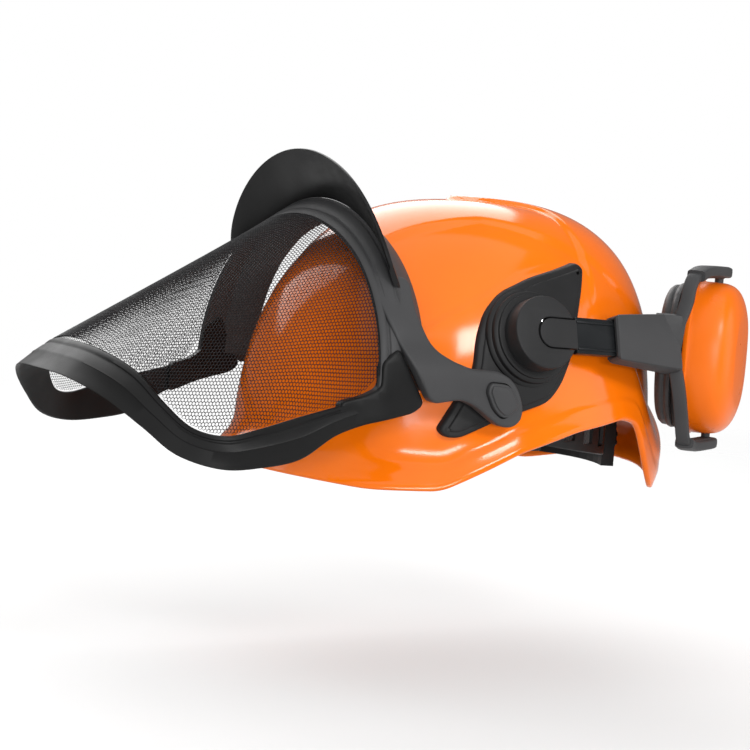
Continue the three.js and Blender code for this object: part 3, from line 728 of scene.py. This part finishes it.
def build_frame():
    count = 241
    top = whole_edge(MESH_EDGE, count)
    low = whole_edge(LOWER_EDGE, count)
    inward = unit(np.stack([-top[:, 0], np.maximum(0, -150 - top[:, 1]), np.zeros(count)], -1))
    outer = [(0.0, -0.6), (0.03, -1.4), (0.12, -1.4), (0.16, -0.9), (0.2, -0.9), (0.24, -1.6),
             (0.42, -1.9), (0.46, -2.2), (0.5, -1.8), (0.85, -1.5), (0.97, -1.3), (1.0, -0.7)]
    inner = [(1.0, 0.7), (0.97, 1.4), (0.5, 1.4), (0.03, 1.4), (0.0, 0.6)]
    ring = np.array([top + (low - top) * share + inward * depth for share, depth in outer + inner])
    strip = finish_mesh("visor_frame", closed_grid(ring, wrap_rows=True))
    piece("visor_frame_moulding", strip, "frame", "visor", ["visor_frame"], sharp=30)


build_frame()

# ---------------------------------------------------------------- visor mesh, a net with hexagonal holes

HOLE_PITCH = 2.1
WIRE = 0.44                      # width of the bar between two holes
NET_DEPTH = 0.5
NET_START = 0.03                 # how far round the hoop, 0 to 1, the net begins
ARC_STEPS = 1201
EDGE_STEPS = 2001
PLANES = 90


def net_sections():
    """Cross-sections of the net at planes from hoop to nose, as (arc lengths from the middle, points)."""
    place = NET_START + (1 - 2 * NET_START) * np.linspace(0, 1, ARC_STEPS)
    back = hoop_point(HOOP_FRONT, math.pi * place) + np.array([0, -0.4, 0])
    edge = whole_edge(MESH_EDGE, EDGE_STEPS) + np.array([0, 0, 0.6])
    at = place * (EDGE_STEPS - 1)
    front = np.stack([np.interp(at, np.arange(EDGE_STEPS), edge[:, k]) for k in range(3)], -1)
    sections = []
    for plane in np.linspace(back[:, 1].max(), front[:, 1].min() + 0.4, PLANES):
        share = (plane - back[:, 1]) / np.minimum(front[:, 1] - back[:, 1], -0.01)
        kept = share <= 1
        points = (back + (front - back) * np.clip(share, 0, 1)[:, None])[kept]
        length = np.concatenate([[0], np.cumsum(np.linalg.norm(np.diff(points, axis=0), axis=1))])
        sections.append((length - length[-1] / 2, points))
    return sections


def net_at(sections, depth, u, v):
    """Points of the net at u across it, from its middle, and v along it."""
    row = np.clip(v / depth, 0, 1) * (PLANES - 1)
    low = np.minimum(row.astype(int), PLANES - 2)
    share = (row - low)[:, None]
    found = np.zeros((2, len(u), 3))
    for step in (0, 1):
        for k in np.unique(low):
            here = low == k
            length, points = sections[k + step]
            for axis in range(3):
                found[step, here, axis] = np.interp(u[here], length, points[:, axis])
    return found[0] * (1 - share) + found[1] * share


def net_cells(depth, half_width):
    """Flat rows of hexagonal cells, each a sloped ring round a hole; Z is 1 or -1 on their rims, 0 inside."""
    rise = HOLE_PITCH * math.sqrt(3) / 2
    corner = np.radians(30 + 60 * np.arange(6))
    radius = HOLE_PITCH / math.sqrt(3)
    hole = 1 - WIRE / HOLE_PITCH
    bm = bmesh.new()
    seen = {}

    def vertex(u, v, lift):
        key = (round(u, 3), round(v, 3), lift)
        if key not in seen:
            seen[key] = bm.verts.new((u, v, lift))
        return seen[key]

    for row in range(int(depth / rise) + 1):
        v0 = row * rise
        reach = np.interp(v0 / depth * (PLANES - 1), np.arange(PLANES), half_width)
        columns = int(reach / HOLE_PITCH)
        for column in range(-columns, columns + 1):
            u0 = (column + 0.5 * (row % 2)) * HOLE_PITCH
            us = u0 + radius * np.cos(corner)
            vs = v0 + radius * np.sin(corner)
            if vs.min() < 0 or vs.max() > depth or abs(u0) > reach:
                continue
            for lift in (1, -1):
                rim = [vertex(u, v, lift) for u, v in zip(us, vs)]
                bore = [vertex(u0 + (u - u0) * hole, v0 + (v - v0) * hole, 0) for u, v in zip(us, vs)]
                for k in range(6):
                    n = (k + 1) % 6
                    bm.faces.new((rim[k], rim[n], bore[n], bore[k]))
    return bm


def build_net():
    sections = net_sections()
    half_width = [length[-1] for length, points in sections]
    hoop_middle, nose_middle = (points[len(points) // 2] for points in (sections[0][1], sections[-1][1]))
    depth = np.linalg.norm(nose_middle - hoop_middle)

    def place(flat):
        points = net_at(sections, depth, flat[:, 0], flat[:, 1])
        outward = unit(points * (1, 0, 1) - (0, 0, HOOP_LEVEL))
        return points + outward * flat[:, 2:] * NET_DEPTH / 2

    net = finish_mesh("visor_net", net_cells(depth, half_width), place)
    piece("visor_net", net, "net", "visor", ["visor_mesh"], sharp=20)


build_net()

# ---------------------------------------------------------------- ear defenders: hub, slider and yoke


def hub_slab(points):
    """(y, z, x) in the hub's axes to the helmet's."""
    return to_hub(standing(points))


def slotted_disc(radius, slot_half, slot_start):
    """Outline of a disc with a round-ended slot open to the rear."""
    opening = math.asin(slot_half / radius)
    turn = np.linspace(opening, TAU - opening, 56)
    rim = np.stack([radius * np.cos(turn), radius * np.sin(turn)], -1)
    bend = np.linspace(1.5 * math.pi, 0.5 * math.pi, 20)
    slot = np.stack([slot_start + slot_half + slot_half * np.cos(bend), slot_half * np.sin(bend)], -1)
    return np.concatenate([rim, slot])


def build_hubs():
    base = revolve([(-27, 0), (-27, 28), (-17.4, 28), (-16.2, 27), (-16, 26.2), (-13.8, 26), (-13, 25.2),
                    (-12.8, 24), (-11.6, 23.8), (-11.4, 23), (-11.4, 0)], 96)
    pair("hub_base", finish_mesh("hub_base", base, to_hub), "plate", "helmet", ["ear_hub_base"])
    floor = patch(circle(HUB_RADIUS, 72), [(0, -HUB_DEPTH), (0, -8.7)])
    wall = patch(slotted_disc(HUB_RADIUS, 8.8, -5.5), soft_edge(-8.7, 0, 0.9))
    cap = finish_mesh("hub_cap", join(floor, wall), hub_slab)
    pair("hub_cap", cap, "hub", "hub_{side}", ["ear_hub_cap"])


def tongue_outline(half, start, end):
    """Bar with a round front end and a square rear end."""
    bend = np.linspace(1.5 * math.pi, 0.5 * math.pi, 16)
    front = np.stack([start + half + half * np.cos(bend), half * np.sin(bend)], -1)
    corner = np.array([(end, half), (end, -half)])
    return np.concatenate([front, corner])


def build_slider():
    root = patch(tongue_outline(8.2, -4.3, 21), soft_edge(-6, -0.3, 0.4))
    root = finish_mesh("slider_root", root, hub_slab)
    pair("slider_root", root, "hub", "arm_{side}")
    bar_loop = rounded([(21.3, -10.3), (78, -10.3), (78, 10.3), (21.3, 10.3)], 1)
    bar = patch(bar_loop, soft_edge(-6, -1.9, 0.6))
    ribs = []
    for z in (-8.4, 6.8):
        rib_loop = rounded([(21.8, z), (77, z), (77, z + 1.6), (21.8, z + 1.6)], 0.5)
        ribs.append(patch(rib_loop, soft_edge(-3, -1.2, 0.4)))
    neck = patch(rounded([(14, -8.2), (24, -8.2), (24, 8.2), (14, 8.2)], 0.5), [(0, -6), (0, -2.2)])
    slider = finish_mesh("slider", join(bar, neck, *ribs), hub_slab)
    pair("slider", slider, "slider", "arm_{side}", ["ear_arm"])


def limb(path, wide_along, width, thickness, count=40):
    """Rounded bar of oblong section along a smooth path, in the helmet's axes."""
    points = smooth_path(path, count)
    tangent = unit(np.gradient(points, axis=0))
    side = unit(wide_along - tangent * (tangent @ wide_along)[:, None])
    normal = np.cross(tangent, side)
    turn = np.linspace(0, TAU, 16, endpoint=False)
    power = 0.45
    c = np.sign(np.cos(turn)) * np.abs(np.cos(turn)) ** power * width / 2
    s = np.sign(np.sin(turn)) * np.abs(np.sin(turn)) ** power * thickness / 2
    section = side[:, None, :] * c[None, :, None] + normal[:, None, :] * s[None, :, None]
    return closed_grid(points[:, None, :] + section, wrapped=True)


def build_yoke():
    # place along the hub's axis, half height of the face, half height of the sides, edge rounding
    stations = [(45.4, 11.4, 11.6, 1.2), (45.8, 12.2, 12.6, 0), (47, 12.6, 13.2, 0), (60, 13.4, 14.2, 0),
                (75, 14.6, 15.8, 0), (88, 15.6, 17, 0), (93, 15.8, 17.2, 0), (94, 15.2, 16.6, 1.2)]
    rings = []
    for y, face, side, drop in stations:
        ring = [(-8.4, side), (-2.4, side), (-1.2, side - 0.3), (1.2 - drop, face + 0.5),
                (1.9 - drop, face), (2.2 - drop, face - 0.7)]
        ring += [(x, -z) for x, z in ring[::-1]]
        ring += [(-9, -side + 0.8), (-9, side - 0.8)]
        rings.append([(x, y + (3.4 * (z / 13) ** 2 if y < 48 else 0), z) for x, z in ring])
    sleeve = closed_grid(np.array(rings), wrapped=True)
    pocket = patch(rounded([(0, -10.8), (81, -10.8), (81, 10.8), (0, 10.8)], 0.3), [(0, -6.4), (0, -0.8)])
    sleeve = cut_mesh(finish_mesh("sleeve", sleeve, to_hub), finish_mesh("pocket", pocket, hub_slab))
    pair("yoke_sleeve", sleeve, "yoke", "fork_{side}", ["ear_yoke"], sharp=25)

    x, y, z = CUP_CENTRE
    axis = np.array([math.cos(CUP_TURN), math.sin(CUP_TURN), 0])
    limbs = []
    for way in (1, -1):
        end = z + way * FORK_TOP
        path = [(115, 79, 79 + way * 6), (117, 82, 79 + way * 15), (118.4, 84.7, 78 + way * 26),
                (118, 87.5 - way, 75 + way * 38), (115.5, 93 - way, end - way * 1.5), (108, 106, end),
                (x, y, end)]
        limbs.append(limb(path, axis, FORK_WIDTH, 4.6))
        hook = [(116, 93 - way, end - way * 1), (109, 104, end + way * 1.6), (x, y, end + way * 1.8),
                (95, 131, end + way * 1.4)]
        limbs.append(limb(hook, axis, FORK_WIDTH + 3, 6.6, 16))
        limbs.append(patch(circle(2.6, 24, (x, y)), [(0, z + way * 41), (0, end)]))
    web = limb([(110, 70, 80), (115, 78, 80), (117.6, 83.5, 79.5)], np.array([0.05, 0, 1.0]), 34, 5.4, 12)
    fork = finish_mesh("yoke_fork", join(web, *limbs))
    pair("yoke_fork", fork, "yoke", "fork_{side}", sharp=30)


build_hubs()
build_slider()
build_yoke()

# ---------------------------------------------------------------- ear cups and their soft parts


def oval(x, half_width, half_height, count=96):
    t = np.linspace(0, TAU, count, endpoint=False)
    c, s = np.cos(t), np.sin(t)
    return np.stack([np.full(count, x), half_width * np.sign(c) * np.abs(c) ** 0.85,
                     half_height * np.sign(s) * np.abs(s) ** 0.85], -1)


def oval_body(stations):
    """Solid or ring through (x, half width, half height); closes on itself if it ends where it starts."""
    return closed_grid(np.array([oval(*s) for s in stations]), wrapped=True)


def build_cups():
    back = []
    for t in 1 - np.linspace(1, 0, 30) ** 1.6:
        shrink = (1 - 0.6 * t ** 6) ** 0.5
        x = CUP_MOUTH + (CUP_BACK - CUP_MOUTH) * t
        back.append((x, CUP_HALF_WIDTH * shrink, CUP_HALF_HEIGHT * shrink))
    last = back[-1]
    centre = [(last[0] + 1.2 * (1 - k ** 2), last[1] * k, last[2] * k) for k in (0.92, 0.8, 0.5, 0.02)]
    lip = [(CUP_MOUTH, 35, 42), (CUP_MOUTH, 38.4, 45.4), (CUP_MOUTH + 0.8, 39, 46),
           (CUP_MOUTH + 2.6, 39, 46), (CUP_MOUTH + 3.2, 38.2, 45.2)]
    outer = lip + back[3:] + centre
    inside = [(x - 3, max(0.5, w - 3), max(0.5, h - 3)) for x, w, h in back[::-3]]
    stations = [*outer, (last[0] - 2, 0.4, 0.4), *inside[:-1], (CUP_MOUTH, 35, 42)]
    cup = finish_mesh("cup", oval_body(stations), to_cup)
    pair("cup_moulding", cup, "cup", "cup_{side}", ["ear_cup"], sharp=40)

    ring = [(-12.6, 22.4, 28.4), (-12.4, 36, 43), (-13, 37, 44), (-16.6, 37, 44), (-17.4, 36, 43),
            (-17.6, 22.4, 28.4), (-12.6, 22.4, 28.4)]
    mesh = finish_mesh("cup_ring", oval_body(ring), to_cup)
    pair("cup_ring", mesh, "band", "cup_{side}", ["ear_cup_ring"])

    foam = [(-7.6, 0.4, 0.4), (-7.8, 20, 26), (-7, 27, 33), (-5, 29, 35), (3, 28.6, 34.6), (5.6, 26, 32),
            (5.9, 0.4, 0.4)]
    mesh = finish_mesh("cup_foam", oval_body(foam), to_cup)
    for pad in pair("cup_foam", mesh, "foam", "cup_{side}", ["ear_foam"], sharp=60):
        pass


def build_cushions():
    outer = [(-18.1, 34.6), (-18.6, 35.9), (-20.2, 36.2), (-21.6, 35.6), (-22.1, 34.4), (-22.6, 34.3),
             (-23.4, 34.9), (-25.2, 34.7), (-27.0, 33.2), (-28.2, 30.8), (-28.6, 28)]
    inner = [(-28.6, 24), (-28.0, 21.4), (-26.4, 19.8), (-23.5, 19.2), (-20.0, 19.4), (-18.1, 21)]
    section = outer + inner + outer[:1]
    stations = [(x, w, w + 7 if w > 26 else w + 6) for x, w in section]
    cushion = finish_mesh("cushion", oval_body(stations), to_cup)
    for pad in pair("cup_cushion", cushion, "cushion", "cup_{side}", ["ear_cushion"], sharp=50):
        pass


build_cups()
build_cushions()

# ---------------------------------------------------------------- harness


def nape_low(y):
    return 20 - 0.15 * (y + 6)


def band_ring(start, end, half, thickness, low, high, edge=0.5, count=120):
    """Curved strip round the head with rounded edges."""
    angle = np.radians(np.linspace(start, end, count))
    rows = []
    section = [(0, edge), (edge, 0), (thickness - edge, 0), (thickness, edge)]
    section = [(d, r, False) for d, r in section] + [(d, r, True) for d, r in section[::-1]]
    for depth, rise, upper in section:
        x = (half[0] + depth) * np.cos(angle)
        y = (half[1] + depth) * np.sin(angle)
        z = high(half[1] * np.sin(angle)) - rise if upper else low(half[1] * np.sin(angle)) + rise
        rows.append(np.stack([x, y, z], -1))
    return closed_grid(np.array(rows), wrap_rows=True)


def level(z):
    return lambda y: np.full_like(y, z)


def inset(half, distance):
    return (half[0] + distance, half[1] + distance)


def window_cutter(angle, way):
    t = math.radians(angle)
    x, y = NAPE_HALF[0] * math.cos(t), NAPE_HALF[1] * math.sin(t)
    bm = patch(rounded([(-6, -6.5), (6, -6.5), (6, 6.5), (-6, 6.5)], 1.6), [(0, -6), (0, 6)])

    def place(points):
        u, v, h = points.T
        px = x - u * math.sin(t) + h * math.cos(t)
        py = y + u * math.cos(t) + h * math.sin(t)
        return np.stack([way * px, py, v + nape_low(y) + 11.5], -1)

    return finish_mesh("window", bm, place)


def inner_wall(angle, at_level):
    """How far out the shell's inner wall lies at an angle and a level."""
    up = (at_level - SHELL_BASE) / (SHELL_CROWN - SHELL_BASE)
    out = (1 - up ** DOME_POWER) ** (1 / DOME_POWER)
    radius = float(plan_radius(np.array(angle), -SHELL_WALL)) * out
    return math.hypot(radius * math.cos(angle), radius * math.sin(angle) + SHELL_LEAN * up ** 2)


# half of the tape's width and thickness at each corner, with a low edge band on its top
TAPE_SECTION = [(-10, -0.3), (-9.4, -0.6), (9.4, -0.6), (10, -0.3), (10, 0.3), (9.4, 0.6), (8.2, 0.6),
                (7.9, 0.4), (-7.9, 0.4), (-8.2, 0.6), (-9.4, 0.6), (-10, 0.3)]


def build_bands():
    front = band_ring(170, 370, BAND_HALF, 1.6, level(13), level(40))
    piece("headband", finish_mesh("headband", front), "band", "helmet", ["headband_front"])
    sweat = band_ring(200, 340, inset(BAND_HALF, -4.6), 4, level(14), level(38), 1.6)
    sweat = finish_mesh("sweatband", sweat)
    sweat = piece("sweatband_pad", sweat, "terry", "helmet", ["sweatband"])

    band = band_ring(-4, 184, NAPE_HALF, 2, nape_low, lambda y: nape_low(y) + 24)
    cutters = [window_cutter(angle, way) for angle in (20, 32, 45) for way in (1, -1)]
    band = cut_mesh(finish_mesh("nape_band", band), *cutters)
    piece("nape_band_moulding", band, "band", "nape_unit", ["nape_band"], sharp=25)

    pad = band_ring(66, 114, inset(NAPE_HALF, -4.6), 4, level(4), level(26), 1.6, 60)
    pad = piece("nape_cushion", finish_mesh("nape_pad", pad), "foam", "nape_unit", ["nape_pad"])


def build_tapes():
    for layer, degrees in enumerate((90, 30, 150)):
        t = math.radians(degrees)
        ends = [inner_wall(t, CLIP_LEVEL) - 10.4, inner_wall(t + math.pi, CLIP_LEVEL) - 10.4]
        swing = np.linspace(0, math.pi, 97)
        reach = np.where(swing < math.pi / 2, ends[0], ends[1])
        out = np.sign(np.cos(swing)) * np.abs(np.cos(swing)) ** 0.85 * reach
        top = STRAP_TOP + layer * 2.4
        height = CLIP_LEVEL - 5 + (top - CLIP_LEVEL + 5) * np.sin(swing) ** 0.85
        middle = np.stack([math.cos(t) * out, math.sin(t) * out, height], -1)
        tangent = unit(np.gradient(middle, axis=0))
        across = np.array([-math.sin(t), math.cos(t), 0])
        normal = np.cross(tangent, across)
        rows = [middle + across * w + normal * n for w, n in TAPE_SECTION]
        strap = finish_mesh("strap", closed_grid(np.array(rows), wrap_rows=True))
        number = layer + 1
        piece(f"crown_tape_{number}", strap, "webbing", "helmet", [f"crown_strap_{number}"])


def build_clips():
    names = ("rear_left", "rear", "rear_right", "front_right", "front", "front_left")
    for i, name in enumerate(names):
        t = math.radians(30 + 60 * i)
        reach = inner_wall(t, CLIP_LEVEL) - 6.4
        clip = patch(rounded([(-12, -7), (12, -7), (12, 7), (-12, 7)], 2.5), soft_edge(-2, 2, 0.7))
        key = patch(rounded([(-8, -4.5), (8, -4.5), (8, 4.5), (-8, 4.5)], 1.5), soft_edge(-2.6, 0, 0.2))

        def place(points, t=t, reach=reach):
            u, v, h = points.T
            return np.stack([(reach + h) * math.cos(t) - u * math.sin(t),
                             (reach + h) * math.sin(t) + u * math.cos(t), v + CLIP_LEVEL], -1)

        mesh = finish_mesh("clip", join(clip, key), place)
        piece(f"clip_{name}", mesh, "band", "helmet", [f"harness_clip_{name}"])


build_bands()
build_tapes()
build_clips()

# ---------------------------------------------------------------- CAD pieces that are shown as they are

KEPT = {"visor_pivot_pin": "steel", "ear_hinge_pin": "steel", "ratchet_pinion": "steel",
        "ratchet_knob": "band", "ratchet_housing": "band"}
for node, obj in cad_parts.items():
    for start, look in KEPT.items():
        if node.startswith(start):
            obj.data.materials.clear()
            obj.data.materials.append(LOOK[look])

# ---------------------------------------------------------------- floor, light and camera

CAMERA_ANGLES = (57, 9.5, 5)     # azimuth, elevation and tip, in degrees
CAMERA_DISTANCE = 1.2
CAMERA_LENS = 95.04
CAMERA_SHIFT = (-0.084, 0.10533)
FELT_LIGHT = 0.22                # strength of the white surround as the part sees it
SEEN_LIGHT = 1.0                 # and as the camera sees it
FLOOR_LEVEL = -0.12
FLOOR_REACH = 1.7
FLOOR_FADE_START = 0.7
FLOOR_COVER = 0.8                # how much of the white backdrop the floor hides in the middle


def build_floor():
    mesh = bpy.data.meshes.new("floor")
    loop = circle(FLOOR_REACH, 96)
    mesh.from_pydata([(x, y, FLOOR_LEVEL) for x, y in loop], [], [list(range(len(loop)))])
    floor = new_object("floor", mesh)
    nodes = Nodes("pale_floor", Roughness=0.9, Specular_IOR_Level=0.1)
    nodes.shader.inputs["Base Color"].default_value = (0.8, 0.8, 0.8, 1)
    distance = nodes.node("ShaderNodeVectorMath", operation="LENGTH")
    nodes.link(nodes.place, distance.inputs[0])
    fade = nodes.spread(distance.outputs["Value"], FLOOR_COVER, 0, FLOOR_FADE_START, FLOOR_REACH - 0.05)
    nodes.link(fade, nodes.shader.inputs["Alpha"])
    mesh.materials.append(nodes.material)


def area_light(name, towards, distance, size, radiance, roll=0.0):
    """Softbox facing the object from a direction, with its size in metres and its radiance."""
    data = bpy.data.lights.new(name, "AREA")
    data.shape = "RECTANGLE"
    data.size, data.size_y = size
    data.energy = radiance * math.pi * size[0] * size[1]
    light = new_object(name, data)
    direction = Vector(towards).normalized()
    light.location = direction * distance + Vector((0, 0, 0.06))
    light.rotation_mode = "QUATERNION"
    turn = direction.to_track_quat("Z", "Y")
    light.rotation_quaternion = turn @ Matrix.Rotation(roll, 3, "Z").to_quaternion()


def build_world():
    world = bpy.data.worlds.new("studio")
    bpy.context.scene.world = world
    world.use_nodes = True
    tree = world.node_tree
    tree.nodes.clear()
    backgrounds = []
    for strength in (FELT_LIGHT, SEEN_LIGHT):
        background = tree.nodes.new("ShaderNodeBackground")
        background.inputs["Color"].default_value = (1, 1, 1, 1)
        background.inputs["Strength"].default_value = strength
        backgrounds.append(background)
    path = tree.nodes.new("ShaderNodeLightPath")
    mix = tree.nodes.new("ShaderNodeMixShader")
    out = tree.nodes.new("ShaderNodeOutputWorld")
    tree.links.new(path.outputs["Is Camera Ray"], mix.inputs["Fac"])
    for socket, background in enumerate(backgrounds, 1):
        tree.links.new(background.outputs["Background"], mix.inputs[socket])
    tree.links.new(mix.outputs["Shader"], out.inputs["Surface"])


def build_lights():
    area_light("far_softbox", (-0.72, 0.02, 0.62), 1.7, (1.5, 2.3), 3.2, math.radians(90))
    area_light("overhead_softbox", (0.36, -0.25, 1), 1.6, (2.4, 2.4), 1.05)
    area_light("side_fill", (0.86, -0.5, 0.12), 2.2, (2.6, 2.2), 0.42)
    area_light("rear_fill", (0.62, 0.75, 0.15), 1.9, (1.3, 1.3), 1.6)
    area_light("near_strip", (0.93, -0.33, 0.1), 1.7, (0.85, 0.13), 26.0)
    area_light("near_window", (0.89, 0.02, 0.45), 1.7, (0.5, 0.28), 26.0)


def build_camera():
    """Camera at the product view: left front, a little above, with the helmet tipped 5 degrees."""
    azimuth, elevation, pitch = (math.radians(a) for a in CAMERA_ANGLES)
    right = Vector((math.cos(azimuth), math.sin(azimuth), 0))
    up = Vector((-math.sin(azimuth) * math.sin(elevation), math.cos(azimuth) * math.sin(elevation),
                 math.cos(elevation)))
    back = right.cross(up)
    tip = Matrix.Rotation(pitch, 3, "X")
    data = bpy.data.cameras.new("camera")
    data.sensor_width = 36
    data.lens = CAMERA_LENS
    data.shift_x, data.shift_y = CAMERA_SHIFT
    data.clip_start = 0.01
    camera = new_object("camera", data)
    axes = Matrix([tip @ right, tip @ up, tip @ back]).transposed()
    camera.matrix_world = Matrix.Translation((tip @ back) * CAMERA_DISTANCE) @ axes.to_4x4()
    bpy.context.scene.camera = camera


build_floor()
build_world()
build_lights()
build_camera()
bpy.context.scene.view_settings.view_transform = "Standard"
